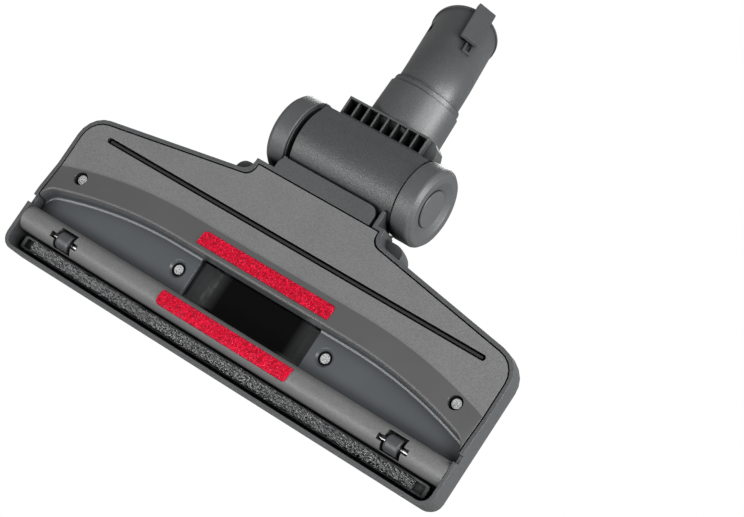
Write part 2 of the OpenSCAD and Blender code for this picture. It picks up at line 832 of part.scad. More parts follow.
// Wheel profile in [radius, distance from the inner face]
module wheel() {
    face = wheel_w;
    rotate([0, 90, 0]) rotate_extrude($fn = 96) difference() {
        polygon([
            [axle_r + fit, 0], [wheel_r - 2.2, 0], [wheel_r - 2, 0.5], [wheel_r - 0.3, 0.5],
            [wheel_r, 0.9], [wheel_r, face - 3], [wheel_r - 0.4, face - 2], [wheel_r - 2, face - 0.3],
            [wheel_r - 2.6, face], [wheel_r - 6.6, face], [wheel_r - 8, face - 0.7],
            [wheel_r - 11.5, face - 2.2], [cap_r + 0.15, face - 2.5], [cap_r + 0.15, face - 4.5],
            [axle_r + 3.2, face - 4.5], [axle_r + 3.2, washer_x - wheel_in - 0.15],
            [axle_r + fit, washer_x - wheel_in - 0.15]
        ]);
        polygon([
            [axle_r + 2.6, 2.4], [wheel_r - 2, 2.4], [wheel_r - 2, face - 4.2],
            [wheel_r - 9, face - 4.6], [wheel_r - 12.5, face - 6.2], [axle_r + 2.6, face - 7.2]
        ]);
    }
}

cap_r = 11;
module hub_cap() {
    face = wheel_w;
    rotate([0, 90, 0]) rotate_extrude()
        polygon([
            [0, face - 3.5], [axle_r + 2, face - 3.5], [axle_r + 2, face - 4.3], [cap_r - 0.2, face - 4.3],
            [cap_r, face - 3.9], [cap_r, face - 1.9], [cap_r - 0.4, face - 1.5], [0, face - 1.5]
        ]);
}

module on_side(s) {
    placed() translate([wheel_x, axle_y, axle_z]) mirror([s > 0 ? 0 : 1, 0, 0]) translate([wheel_in, 0, 0]) children();
}

module roller_left() { roller(-roller_x); }
module roller_right() { roller(roller_x); }
module wheel_left() { color("#4b4c4e") on_side(-1) wheel(); }
module wheel_right() { color("#4b4c4e") on_side(1) wheel(); }
module hub_cap_left() { color("#5a5b5d") on_side(-1) hub_cap(); }
module hub_cap_right() { color("#5a5b5d") on_side(1) hub_cap(); }

// ---- brushes ----

module brush_arm() {
    hull() {
        block([arm_x - arm_w / 2, holder_y, holder_z + holder_h - 0.5], [arm_x + arm_w / 2, bar_front - 1, holder_z + holder_h + arm_t]);
        block([arm_x - arm_w / 2, bar_rear - 3.4, arm_z], [arm_x + arm_w / 2, bar_rear - 2.4, arm_z + arm_t]);
    }
    block([arm_x - arm_w / 2, bar_rear - 3.4, arm_z], [arm_x + arm_w / 2, rear_slot_y + rail_w / 2, arm_z + arm_t]);
    block([arm_x - arm_w / 2, rear_slot_y - rail_w / 2, rail_z], [arm_x + arm_w / 2, rear_slot_y + rail_w / 2, arm_z + 1]);
    block([bridge_half - 3, bridge_y - 2, arm_z], [arm_x, bridge_y + 2, arm_z + arm_t]);
    block([bridge_half - 3, bridge_y - 2, arm_z], [bridge_half, bridge_y + 2, bridge_z + 3]);
}

function holder_outline(half_x, half_y, r) = rounded([
    [-half_x, holder_y - half_y, r], [half_x, holder_y - half_y, r],
    [half_x, holder_y + half_y, r], [-half_x, holder_y + half_y, r]
]);

module brush_frame() {
    placed() color("#5e6062") difference() {
        union() {
            prism(holder_outline(holder_half, holder_w / 2, 1.6), holder_z, holder_z + holder_h);
            block([-rail_half, rear_slot_y - rail_w / 2, rail_z], [rail_half, rear_slot_y + rail_w / 2, rail_top]);
            both_sides() brush_arm();
            block([-bridge_half, bridge_y - 2, bridge_z], [bridge_half, bridge_y + 2, bridge_z + 3]);
            for (s = [-1, 1])
                block([s * 8 - 1, bridge_y + 1, crank_z - 2.1], [s * 8 + 1, crank_y + 5, crank_z + 2.6]);
        }
        prism(holder_outline(holder_half - 2, groove_half, 0.8), holder_z - 1, holder_z + 3);
        for (x = holder_slots)
            block([x - 3.6, holder_y + groove_half + 0.25, holder_z - 1], [x + 3.6, holder_y + holder_w / 2 - 0.3, holder_z + 2]);
        block([-101.5, holder_y - holder_w / 2 - 1, holder_z - 1], [-98.5, holder_y - groove_half + 0.5, holder_z + 1.5]);
        block([-rail_half - 1, rear_slot_y - lip_t / 2 - fit, rail_z - 1], [rail_half + 1, rear_slot_y + lip_t / 2 + fit, rail_z + 2]);
        hull() for (y = [crank_y - 0.2, crank_y + 2])
            translate([-10, y, crank_z]) rotate([0, 90, 0]) cylinder(r = crank_pin_r + 0.2, h = 20, $fn = 32);
    }
}

module front_bristles() {
    placed() color("#2f3031")
        block([-holder_half + 9, holder_y - groove_half + seat / 2, bristle_tip_h],
            [holder_half - 7, holder_y + groove_half - seat / 2, holder_z + 3 - seat]);
}

module rear_lip() {
    placed() color("#252627")
        block([-rail_half, rear_slot_y - lip_t / 2, bristle_tip_h + 0.2], [rail_half, rear_slot_y + lip_t / 2, rail_z + 2 - seat]);
}

// ---- pedal ----

pedal_swing = asin(brush_travel / (pedal_y - crank_y)) * 0.985;
pedal_tilt = pedal_swing / 2;

module pedal() {
    placed() color("#5a5c5e") difference() {
        union() {
            over_roof() translate([0, 0, -pin_drop]) rotate([-pedal_tilt, 0, 0]) translate([0, 0, pin_drop - 1.2]) hull() {
                for (x = [-1, 1], y = [-1, 1])
                    translate([x * (pedal_w / 2 - 4), y * (pedal_l / 2 - 4), -pedal_t / 2]) cylinder(r = 4, h = pedal_t, $fn = 32);
            }
            x_rod(pedal_pin_r + 1.8, -6, 6, pedal_y, pedal_pin_z);
            pedal_crank();
        }
        x_rod(pedal_pin_r + fit, -pedal_w, pedal_w, pedal_y, pedal_pin_z);
    }
}
module pedal_crank() {
    hull() {
        x_rod(2, -5, 5, pedal_y, pedal_pin_z);
        x_rod(2, -5, 5, crank_y, crank_z);
    }
    x_rod(crank_pin_r, -9.4, 9.4, crank_y, crank_z);
}

module pedal_pin() {
    placed() color("silver") x_rod(pedal_pin_r, -pedal_w / 2 - 3, pedal_w / 2 + 3, pedal_y, pedal_pin_z);
}

// ---- neck ----

collar_start = axle_y + 30.6;
collar_in = tube_r - 0.9;
box_half = 27;
box_y0 = axle_y + 20.6;
box_y1 = axle_y + 31.8;
box_low = axle_z - 10.5;
box_top = axle_z + 5;

// Duct from the barrel to the collar, or the passage inside it when t is the wall
module neck_duct(t) {
    hull() {
        translate([0, axle_y, axle_z]) x_profile(-24 + t, 24 - t)
            polygon([for (a = [12 + t:(58 - 2 * t) / 8:70 - t + eps]) (barrel_in + 1 - t) * [cos(a), sin(a)]]);
        translate([collar_x - barrel_x, collar_start, collar_z]) rotate([-90, 0, 0]) cylinder(r = collar_r - 0.5 - t, h = 1, $fn = 48);
    }
}

// Half of the barrel: end discs that turn on the stub axles, and a shell between them
module half_barrel(upper) {
    inner = barrel_half - barrel_wall;
    hub_r = axle_r + fit;
    near = upper ? 0.3 : 180.3;
    difference() {
        hinge_sweep(near, near + 179.4) polygon([
            [hub_r, -barrel_half], [barrel_r, -barrel_half], [barrel_r, barrel_half], [hub_r, barrel_half],
            [hub_r, inner], [barrel_in, inner], [barrel_in, -inner], [hub_r, -inner]
        ]);
        if (upper) hinge_sweep(88, 181) arc_profile(barrel_in - play, barrel_r + 1, inner);
        else {
            hinge_sweep(179, 210) arc_profile(barrel_in - play, barrel_r + 1, inner);
            hinge_sweep(cover_end, 361) arc_profile(barrel_in - play, barrel_r + 1, inner);
        }
    }
}

// Box under the collar, open below in a row of pockets
module pocket_box() {
    pitch = (2 * box_half - 1) / pocket_count;
    difference() {
        block([-box_half, box_y0, box_low], [box_half, box_y1, box_top]);
        for (i = [0:pocket_count - 1])
            block([-box_half + 1 + i * pitch, box_y0 + 1, box_low - 1], [-box_half + (i + 1) * pitch, box_y1 - 1.2, box_top - 1.8]);
    }
}

// Cheek that joins the pocket box to one end of the barrel
module box_cheek() {
    inner = barrel_half - barrel_wall;
    difference() {
        prism([
            [-barrel_half + 0.2, axle_y + 12], [-box_half + 1, axle_y + 12], [-box_half + 1, box_y1],
            [-box_half - 2.5, box_y1 - 0.6], [-inner, box_y1 - 3], [-barrel_half + 0.6, box_y1 - 6.5],
            [-barrel_half + 0.2, box_y1 - 9]
        ], box_low + 4, box_top - 1);
        x_rod(barrel_r + 0.35, -barrel_half - 1, -inner + 0.2, axle_y, axle_z);
    }
}

module neck_body() {
    placed() color("#4e4f51") difference() {
        union() {
            half_barrel(true);
            hinge_sweep(cover_end + 1.2, 362) arc_profile(barrel_in + 0.15, barrel_r - 0.15, barrel_half - barrel_wall - 0.1);
            at_barrel() {
                difference() {
                    union() {
                        neck_duct(0);
                        pocket_box();
                        box_cheek();
                    }
                    x_rod(barrel_in + 0.4, -barrel_half, barrel_half, axle_y, axle_z);
                }
                translate([collar_x - barrel_x, collar_start, collar_z]) rotate([-90, 0, 0])
                    cylinder(r1 = collar_r + 1, r2 = collar_r + 0.3, h = collar_end - collar_start);
            }
        }
        at_barrel() {
            intersection() {
                neck_duct(2);
                block([-50, axle_y + 2, axle_z - 8], [50, collar_start + 2, 100]);
            }
            translate([collar_x - barrel_x, collar_start - 2, collar_z]) rotate([-90, 0, 0]) cylinder(r = collar_in, h = 80);
        }
    }
}

// The cover's flat plate leaves the barrel nearly at a tangent and ends in a straight rear edge
cover_end = 332;
plate_from = 306;
plate_edge = [20.2, -13.4];

module neck_cover() {
    placed() color("#525355") {
        half_barrel(false);
        translate([barrel_x, axle_y, axle_z]) x_profile(0.1 - barrel_half, barrel_half - 0.1) polygon([
            (barrel_r - 0.1) * [cos(plate_from), sin(plate_from)],
            plate_edge,
            (barrel_r - 0.9) * [cos(cover_end - 1), sin(cover_end - 1)]
        ]);
    }
}

// ---- swivelling elbow ----

spigot_r = collar_in - 0.1;
spigot_in = spigot_r - 2;
mould_step = 0.06;  // step where two lengths of the moulded tube meet
spigot_l = 16;
spigot_end = spigot_l + swivel_ring_t + seat;
groove_y = -spigot_end + 3;
groove_w = 1.6;
groove_d = 0.9;

// Frame of the elbow, whose bend rises in the swivelled plane
module swivelled() {
    placed() translate([collar_x, elbow_start, collar_z]) rotate([0, elbow_swivel, 0]) children();
}

// Frame at the start of the straight socket, with +Y along it
module along_socket() {
    translate([0, bend_r * sin(elbow_bend), bend_r * (1 - cos(elbow_bend))]) rotate([elbow_bend, 0, 0]) children();
}

module y_tube(r, y0, y1) {
    translate([0, y0, 0]) rotate([-90, 0, 0]) cylinder(r = r, h = y1 - y0);
}

module bend_tube(r) {
    translate([0, 0, bend_r]) rotate([0, 90, 0]) rotate([0, 0, 0]) rotate_extrude(angle = elbow_bend)
        translate([bend_r, 0]) circle(r = r);
}

module elbow() {
    color("#56575a") swivelled() difference() {
        union() {
            y_tube(spigot_r, -spigot_end, 1.5);
            y_tube(collar_r - 1, 0, 0.6);
            bend_tube(tube_r - mould_step);
            along_socket() {
                y_tube(tube_r, -0.5, socket_l);
                y_tube(rim_r, socket_l - 1.6, socket_l);
                latch_seat();
            }
        }
        y_tube(spigot_in, -spigot_end - 1, 0.3);
        bend_tube(spigot_in - mould_step);
        along_socket() {
            y_tube(spigot_in, -0.3, 2);
            y_tube(socket_r, 1, socket_l + 1);
            latch_cuts();
            lock_window();
        }
        difference() {
            y_tube(spigot_r + 1, groove_y, groove_y + groove_w);
            y_tube(spigot_r - groove_d, groove_y - 1, groove_y + groove_w + 1);
        }
    }
}

// The latch stands on the underside of the tube, turned a little to one side
latch_low = socket_l + latch_out - latch_l;
latch_pivot = latch_low + 0.58 * latch_l;

module latch_frame() {
    rotate([0, latch_turn, 0]) children();
}

module latch_seat() {
    latch_frame() {
        for (s = [-1, 1]) hull() {
            block([s * 4 - 0.8, latch_pivot - 3, -tube_r - 0.2], [s * 4 + 0.8, latch_pivot + 3, -tube_r + 1.5]);
            translate([s * 4 - 0.8, latch_pivot, -latch_z + 0.6]) rotate([0, 90, 0]) cylinder(r = 1.9, h = 1.6, $fn = 32);
        }
        block([-4.6, latch_low - 7.8, -latch_z + 0.3], [0.6, latch_low - 0.4, -tube_r + 1.5]);
    }
}

module latch_cuts() {
    latch_frame() {
        block([-3.4, latch_low - 6.6, -latch_z - 2], [-0.6, latch_low, -tube_r - 0.3]);
        x_rod(0.9 + fit, -6, 6, latch_pivot, -latch_z + 0.6);
        block([-2.8, socket_l - 6, -tube_r - 3], [2.8, socket_l - 2.2, -socket_r + 1]);
    }
}

module latch_lever() {
    color("#4d4e50") swivelled() along_socket() latch_frame() difference() {
        union() {
            hull() for (x = [-1, 1], y = [0, 1])
                translate([x * (latch_w / 2 - 0.8), latch_low + 0.8 + y * (latch_l - 1.6), -latch_z - latch_t])
                    cylinder(r = 0.8, h = latch_t, $fn = 16);
            difference() {
                x_rod(1.9, -2.8, 2.8, latch_pivot, -latch_z + 0.6);
                block([-4, latch_pivot - 4, -latch_z + 1.6], [4, latch_pivot + 4, 0]);
            }
            block([-2.2, socket_l - 5.2, -latch_z - 0.5], [2.2, socket_l - 3.2, -socket_r - 0.4]);
        }
        x_rod(0.9 + fit, -6, 6, latch_pivot, -latch_z + 0.6);
        for (s = [-1, 1]) x_rod(2.25, s * 4 - 1.1, s * 4 + 1.1, latch_pivot, -latch_z + 0.6);
    }
}

module latch_pin() {
    color("silver") swivelled() along_socket() latch_frame() x_rod(0.9, -4.8, 4.8, latch_pivot, -latch_z + 0.6);
}

// Window in the tube wall that takes the button of a telescopic tube
module lock_window() {
    rotate([0, -78, 0]) block([-2.4, socket_l - 21.5, -tube_r - 2], [2.4, socket_l - 12.5, -socket_r + 2]);
}

module swivel_ring() {
    color("#606163") swivelled() difference() {
        y_tube(collar_r - 0.7, -swivel_ring_t - seat, -seat);
        y_tube(spigot_r + 0.1, -swivel_ring_t - 1, 1);
    }
}

module swivel_seal() {
    color("#1c1c1c") swivelled() difference() {
        y_tube(collar_in - fit, groove_y + fit, groove_y + groove_w - fit);
        y_tube(spigot_r - groove_d + fit, groove_y - 1, groove_y + groove_w + 1);
    }
}

top_housing();
sole_plate();
front_lint_strip();
rear_lint_strip();
sole_screws();
air_duct();
hinge_drum();
duct_gasket();
axle_pins();
axle_washers();
roller_pins();
roller_left();
roller_right();
wheel_left();
wheel_right();
hub_cap_left();
hub_cap_right();
pedal();
pedal_pin();
brush_frame();
front_bristles();
rear_lip();
neck_body();
neck_cover();
swivel_ring();
swivel_seal();
elbow();
latch_lever();
latch_pin();
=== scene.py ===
"""Looks of a combination floor head for a vacuum cleaner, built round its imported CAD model.

Lengths are in metres. X runs across the head, Y from the front edge to the tube, and Z up from the floor.
"""
import random

import bmesh
import bpy
from mathutils import Matrix, Vector
from mathutils.bvhtree import BVHTree


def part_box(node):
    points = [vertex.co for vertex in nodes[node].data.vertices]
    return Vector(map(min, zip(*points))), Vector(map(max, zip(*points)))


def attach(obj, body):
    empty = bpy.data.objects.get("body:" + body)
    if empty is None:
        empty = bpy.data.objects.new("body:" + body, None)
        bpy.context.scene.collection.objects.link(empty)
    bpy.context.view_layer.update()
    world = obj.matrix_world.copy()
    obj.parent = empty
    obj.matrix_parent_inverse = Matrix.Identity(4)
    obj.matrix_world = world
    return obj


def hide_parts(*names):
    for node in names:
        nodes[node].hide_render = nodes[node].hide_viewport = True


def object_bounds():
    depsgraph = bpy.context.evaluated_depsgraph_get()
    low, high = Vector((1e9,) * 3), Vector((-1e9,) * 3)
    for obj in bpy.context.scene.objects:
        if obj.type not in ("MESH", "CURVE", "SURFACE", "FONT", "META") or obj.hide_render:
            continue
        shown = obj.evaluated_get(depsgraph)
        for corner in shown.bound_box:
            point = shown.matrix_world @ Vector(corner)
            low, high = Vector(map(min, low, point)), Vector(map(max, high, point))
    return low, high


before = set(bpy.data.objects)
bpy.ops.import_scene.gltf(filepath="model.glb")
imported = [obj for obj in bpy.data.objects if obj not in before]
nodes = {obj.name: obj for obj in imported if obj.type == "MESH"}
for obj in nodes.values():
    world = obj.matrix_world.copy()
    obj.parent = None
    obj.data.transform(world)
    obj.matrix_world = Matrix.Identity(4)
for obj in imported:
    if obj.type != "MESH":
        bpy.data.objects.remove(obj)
cad_low, cad_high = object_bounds()


# ---- camera ----
# The head is looked at from below, from in front of its left half, so that the whole sole shows and
# the neck points away. The place is taken from the axle line of the front rollers and the flat sole.

def middle_of(name):
    low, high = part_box(name)
    return (low + high) / 2


roller_line_y = middle_of("roller_left").y
sole_z = 0.005
eye = Vector((-0.4903, roller_line_y - 0.0579, sole_z - 0.9489))
looking = Vector((0.42, 0.1281, 0.8984))
picture_up = Vector((0.4514, 0.8294, -0.3293))

camera = bpy.data.objects.new("camera", bpy.data.cameras.new("camera"))
camera.data.lens = 97.39
camera.data.sensor_width = 36
camera.data.clip_start = 0.05
camera.data.clip_end = 50
back = -looking.normalized()
right = picture_up.cross(back).normalized()
turned_to_head = Matrix((right, back.cross(right), back)).transposed().to_4x4()
camera.matrix_world = Matrix.Translation(eye) @ turned_to_head
bpy.context.scene.collection.objects.link(camera)
bpy.context.scene.camera = camera


# ---- floor and light ----
# A pale matt floor, painted on its upper side only, so that the sole can be seen through it from
# below. It throws no shadow down and no light up. Softboxes stand above and below the head.

def linear(hex_colour):
    """Linear colour of an sRGB hex value."""
    parts = [int(hex_colour[i:i + 2], 16) / 255 for i in (1, 3, 5)]
    return tuple(c / 12.92 if c <= 0.04045 else ((c + 0.055) / 1.055) ** 2.4 for c in parts) + (1.0,)


def add(tree, kind, sockets=(), **settings):
    """Adds a node to a material, with its settings and with a value or a link on each named socket."""
    made = tree.nodes.new(kind)
    for key, value in settings.items():
        setattr(made, key, value)
    for key, value in dict(sockets).items():
        if isinstance(value, bpy.types.NodeSocket):
            tree.links.new(value, made.inputs[key])
        else:
            made.inputs[key].default_value = value
    return made


floor_mesh = bpy.data.meshes.new("floor")
floor_form = bmesh.new()
bmesh.ops.create_grid(floor_form, x_segments=1, y_segments=1, size=3.0)
floor_form.to_mesh(floor_mesh)
floor_form.free()
floor = bpy.data.objects.new("floor", floor_mesh)
bpy.context.scene.collection.objects.link(floor)
paint = bpy.data.materials.new("matt_floor_paint")
paint.use_nodes = True
upper = paint.node_tree.nodes["Principled BSDF"]
upper.inputs["Base Color"].default_value = linear("#dcdcda")
upper.inputs["Roughness"].default_value = 0.9
below = add(paint.node_tree, "ShaderNodeBsdfTransparent")
side = add(paint.node_tree, "ShaderNodeNewGeometry")
one_sided = add(paint.node_tree, "ShaderNodeMixShader", {
    0: side.outputs["Backfacing"], 1: upper.outputs[0], 2: below.outputs[0],
})
paint.node_tree.links.new(one_sided.outputs[0], paint.node_tree.nodes["Material Output"].inputs["Surface"])
floor_mesh.materials.append(paint)
floor.visible_shadow = False
floor.visible_diffuse = False
floor.visible_glossy = False
floor.visible_transmission = False

room = bpy.data.worlds.new("white_room")
room.use_nodes = True
walls = room.node_tree.nodes["Background"]
walls.inputs["Color"].default_value = (1.0, 1.0, 1.0, 1.0)
ray = add(room.node_tree, "ShaderNodeLightPath")
fill_level = 0.36
dim = add(room.node_tree, "ShaderNodeMapRange", {
    "Value": ray.outputs["Is Camera Ray"], "To Min": fill_level, "To Max": 1.0,
})
room.node_tree.links.new(dim.outputs[0], walls.inputs["Strength"])
bpy.context.scene.world = room
bpy.context.scene.view_settings.view_transform = "Standard"


def softbox(name, place, size, watts):
    """Square softbox at a place, aimed at the middle of the head."""
    lamp = bpy.data.lights.new(name, "AREA")
    lamp.shape = "RECTANGLE"
    lamp.size, lamp.size_y = size, size
    lamp.energy = watts
    box = bpy.data.objects.new(name, lamp)
    target = (cad_low + cad_high) / 2
    aim = (target - Vector(place)).to_track_quat("-Z", "Y").to_matrix().to_4x4()
    box.matrix_world = Matrix.Translation(place) @ aim
    bpy.context.scene.collection.objects.link(box)


softbox("key_below", (-1.11, 0.21, -0.95), 0.6, 17)
softbox("side_below", (-1.4, 0.3, -0.14), 0.6, 27)
softbox("fill_below", (0.61, -0.78, -1.09), 0.6, 9)
softbox("front_below", (-0.15, -0.95, -1.15), 0.5, 12)
softbox("key_above", (0.6, 1.0, 1.2), 0.8, 14)


# ---- moulded housing, sole plate and neck ----
# Injection-moulded ABS, dyed dark grey right through, from tools with a spark-eroded texture. The
# real grain is about 0.2 mm and is drawn at 0.8 mm, so that it shows. It breaks up the gloss. Gaps
# and hollows get painted shade.

def moulded_plastic(name, colour, roughness, speckle=0.2, depth=0.00012, flat_z=None, bar_y=None):
    """Dyed ABS. Where flat_z is given, only faces at that height or in front of bar_y are textured.

    Colour and roughness are pairs: the polished faces, then the textured ones.
    """
    grain, cloud_size = 0.0008, 0.03
    edge_r, painted_shade_reach, shine = 0.0005, 0.012, 0.5
    flat_slack, turn_in_h = 0.0002, 0.004
    turn_in_colour = linear("#464646")
    material = bpy.data.materials.new(name)
    material.use_nodes = True
    tree = material.node_tree
    shader = tree.nodes["Principled BSDF"]
    shader.inputs["IOR"].default_value = 1.5
    place = add(tree, "ShaderNodeTexCoord").outputs["Object"]
    grit = add(tree, "ShaderNodeTexNoise", {
        "Vector": place, "Scale": 1 / grain, "Detail": 2.0, "Roughness": 0.7,
    })
    cloud = add(tree, "ShaderNodeTexNoise", {
        "Vector": place, "Scale": 1 / cloud_size, "Detail": 3.0, "Roughness": 0.6,
    })
    textured = add(tree, "ShaderNodeValue").outputs[0]
    textured.default_value = 1.0
    polished = linear(colour[0])
    if flat_z is not None:
        spot = add(tree, "ShaderNodeSeparateXYZ", {"Vector": place})
        level = add(tree, "ShaderNodeMath", {
            0: spot.outputs["Z"], 1: flat_z, 2: flat_slack,
        }, operation="COMPARE")
        front = add(tree, "ShaderNodeMath", {0: spot.outputs["Y"], 1: bar_y}, operation="LESS_THAN")
        either = add(tree, "ShaderNodeMath", {0: level.outputs[0], 1: front.outputs[0]}, operation="MAXIMUM")
        textured = either.outputs[0]
        rise = add(tree, "ShaderNodeMapRange", {
            "Value": spot.outputs["Z"], "From Min": flat_z, "From Max": flat_z + turn_in_h,
        })
        fading = add(tree, "ShaderNodeMix", {
            "Factor": rise.outputs["Result"], "A": turn_in_colour, "B": polished,
        }, data_type="RGBA")
        polished = fading.outputs["Result"]
    # Painted shade: an occlusion test darkens the colour and the reflection in gaps, hollows and crevices.
    painted_crevice_shade = add(tree, "ShaderNodeAmbientOcclusion", {"Distance": painted_shade_reach}, samples=6)
    painted_shade = add(tree, "ShaderNodeMapRange", {
        "Value": painted_crevice_shade.outputs["AO"], "From Min": 0.15, "From Max": 0.75, "To Min": 0.12, "To Max": 1.0,
    })
    swing = add(tree, "ShaderNodeMath", {0: textured, 1: speckle}, operation="MULTIPLY")
    low = add(tree, "ShaderNodeMath", {0: 1.0, 1: swing.outputs[0]}, operation="SUBTRACT")
    high = add(tree, "ShaderNodeMath", {0: 1.0, 1: swing.outputs[0]}, operation="ADD")
    shade = add(tree, "ShaderNodeMapRange", {
        "Value": grit.outputs["Fac"], "From Min": 0.32, "From Max": 0.68,
        "To Min": low.outputs[0], "To Max": high.outputs[0],
    })
    drift = add(tree, "ShaderNodeMapRange", {
        "Value": cloud.outputs["Fac"], "From Min": 0.3, "From Max": 0.7, "To Min": 0.95, "To Max": 1.05,
    })
    worn = add(tree, "ShaderNodeMath", {
        0: shade.outputs["Result"], 1: drift.outputs["Result"],
    }, operation="MULTIPLY")
    level = add(tree, "ShaderNodeMath", {
        0: worn.outputs[0], 1: painted_shade.outputs["Result"],
    }, operation="MULTIPLY")
    specular_under_painted_shade = add(tree, "ShaderNodeMath", {0: painted_shade.outputs["Result"], 1: shine}, operation="MULTIPLY")
    dye = add(tree, "ShaderNodeMix", {
        "Factor": textured, "A": polished, "B": linear(colour[1]),
    }, data_type="RGBA")
    tint = add(tree, "ShaderNodeVectorMath", {
        0: dye.outputs["Result"], "Scale": level.outputs[0],
    }, operation="SCALE")
    gloss = add(tree, "ShaderNodeMapRange", {
        "Value": textured, "To Min": roughness[0], "To Max": roughness[1],
    })
    softened = add(tree, "ShaderNodeBevel", {"Radius": edge_r}, samples=4)
    deep = add(tree, "ShaderNodeMath", {0: textured, 1: depth}, operation="MULTIPLY")
    relief = add(tree, "ShaderNodeBump", {
        "Height": grit.outputs["Fac"], "Distance": deep.outputs[0], "Normal": softened.outputs["Normal"],
    })
    for socket, value in (
        ("Base Color", tint.outputs[0]),
        ("Specular IOR Level", specular_under_painted_shade.outputs[0]),
        ("Roughness", gloss.outputs["Result"]),
        ("Normal", relief.outputs["Normal"]),
    ):
        tree.links.new(value, shader.inputs[socket])
    return material


def dress(material, *names):
    """Gives CAD nodes a material in place of the one that they were packed with."""
    for name in names:
        for slot in nodes[name].material_slots:
            slot.material = material


bar_half_depth = 0.00865
bar_rear_y = roller_line_y + bar_half_depth
dress(
    moulded_plastic("textured_abs", ("#3f4041", "#3f4041"), (0.42, 0.42)),
    "top_housing", "neck_body", "latch_lever",
)
dress(
    moulded_plastic("sole_abs", ("#424548", "#5b5b5b"), (0.3, 0.5), flat_z=sole_z, bar_y=bar_rear_y),
    "sole_plate",
)
dress(
    moulded_plastic("barrel_abs", ("#3a3b3c", "#3a3b3c"), (0.36, 0.36), speckle=0.25, depth=0.0002),
    "neck_cover",
)
dress(
    moulded_plastic("elbow_abs", ("#3d3e3f", "#3d3e3f"), (0.38, 0.38), speckle=0.22),
    "elbow", "swivel_ring",
)
dress(
    moulded_plastic("wheel_pp", ("#434445", "#434445"), (0.44, 0.44), speckle=0.14),
    "wheel_left", "wheel_right",
)
dress(
    moulded_plastic("cap_abs", ("#464748", "#464748"), (0.42, 0.42), speckle=0.12),
    "hub_cap_left", "hub_cap_right", "pedal",
)
dress(
    moulded_plastic("roller_pom", ("#3a3b3d", "#3a3b3d"), (0.4, 0.4), speckle=0.06),
    "roller_left", "roller_right",
)
dress(moulded_plastic("frame_abs", ("#3c3d3f", "#3c3d3f"), (0.5, 0.5), speckle=0.1), "brush_frame")
dress(moulded_plastic("hinge_abs", ("#1c1d1e", "#1c1d1e"), (0.5, 0.5), speckle=0.1), "hinge_drum")
dress(
    moulded_plastic("seal_rubber", ("#141414", "#141414"), (0.6, 0.6), speckle=0.1),
    "duct_gasket", "swivel_seal", "rear_lip",
)


# ---- air duct ----
# Glossy black polypropylene from a polished tool. Towards the two ends of the mouth the wall is
# shinier, and its colour is painted paler there as painted light on the curved ends.

duct_plastic = bpy.data.materials.new("duct_pp")
duct_plastic.use_nodes = True
tree = duct_plastic.node_tree
shader = tree.nodes["Principled BSDF"]
place = add(tree, "ShaderNodeTexCoord").outputs["Object"]
spot = add(tree, "ShaderNodeSeparateXYZ", {"Vector": place})
aside = add(tree, "ShaderNodeMath", {0: spot.outputs["X"]}, operation="ABSOLUTE")
mouth_end_gloss_and_painted_light = add(tree, "ShaderNodeMapRange", {
    "Value": aside.outputs[0], "From Min": 0.024, "From Max": 0.030,
})
flow = add(tree, "ShaderNodeTexNoise", {"Vector": place, "Scale": 1 / 0.006, "Detail": 2.0})
# Painted light: the black is mixed towards a paler grey at the mouth ends, for the lit look of their curved
# walls.
dye = add(tree, "ShaderNodeMix", {
    "Factor": mouth_end_gloss_and_painted_light.outputs["Result"], "A": linear("#050505"), "B": linear("#1b1c1d"),
}, data_type="RGBA")
shine = add(tree, "ShaderNodeMapRange", {"Value": mouth_end_gloss_and_painted_light.outputs["Result"], "To Min": 0.1, "To Max": 0.6})
gloss = add(tree, "ShaderNodeMapRange", {
    "Value": flow.outputs["Fac"], "From Min": 0.3, "From Max": 0.7, "To Min": 0.14, "To Max": 0.24,
})
ripple = add(tree, "ShaderNodeBump", {"Height": flow.outputs["Fac"], "Distance": 0.0002})
for socket, value in (
    ("Base Color", dye.outputs["Result"]),
    ("Specular IOR Level", shine.outputs["Result"]),
    ("Roughness", gloss.outputs["Result"]),
    ("Normal", ripple.outputs["Normal"]),
):
    tree.links.new(value, shader.inputs[socket])
dress(duct_plastic, "air_duct")


# ---- steel screws, pins, axles and washers ----
# Zinc-plated screw heads with a slightly cloudy plate, and ground steel pins and axles.

def steel(name, colour, roughness, scratch, depth):
    """Bare or plated steel with fine marks of a spacing and depth in metres."""
    material = bpy.data.materials.new(name)
    material.use_nodes = True
    tree = material.node_tree
    shader = tree.nodes["Principled BSDF"]
    shader.inputs["Metallic"].default_value = 1.0
    place = add(tree, "ShaderNodeTexCoord").outputs["Object"]
    marks = add(tree, "ShaderNodeTexNoise", {"Vector": place, "Scale": 1 / scratch, "Detail": 3.0})
    bright = linear(colour)
    dulling = 0.72
    dull = tuple(c * dulling for c in bright[:3]) + (1.0,)
    tint = add(tree, "ShaderNodeMix", {
        "Factor": marks.outputs["Fac"], "A": dull, "B": bright,
    }, data_type="RGBA")
    gloss = add(tree, "ShaderNodeMapRange", {
        "Value": marks.outputs["Fac"], "From Min": 0.3, "From Max": 0.7,
        "To Min": roughness * 0.7, "To Max": roughness * 1.3,
    })
    relief = add(tree, "ShaderNodeBump", {"Height": marks.outputs["Fac"], "Distance": depth})
    for socket, value in (
        ("Base Color", tint.outputs["Result"]),
        ("Roughness", gloss.outputs["Result"]),
        ("Normal", relief.outputs["Normal"]),
    ):
        tree.links.new(value, shader.inputs[socket])
    return material


dress(steel("zinc_plated_steel", "#f0f1f2", 0.34, 0.0008, 0.00002), "sole_screws", "axle_washers")
dress(
    steel("ground_steel", "#f4f5f6", 0.28, 0.0005, 0.000005),
    "roller_pins", "axle_pins", "pedal_pin", "latch_pin",
)


# ---- front brush strip ----
# A strip of crimped nylon filament, glued in the groove of the brush holder. The dark grey filaments
# are cut level, lean a little every way, and look like a dense felt from below.

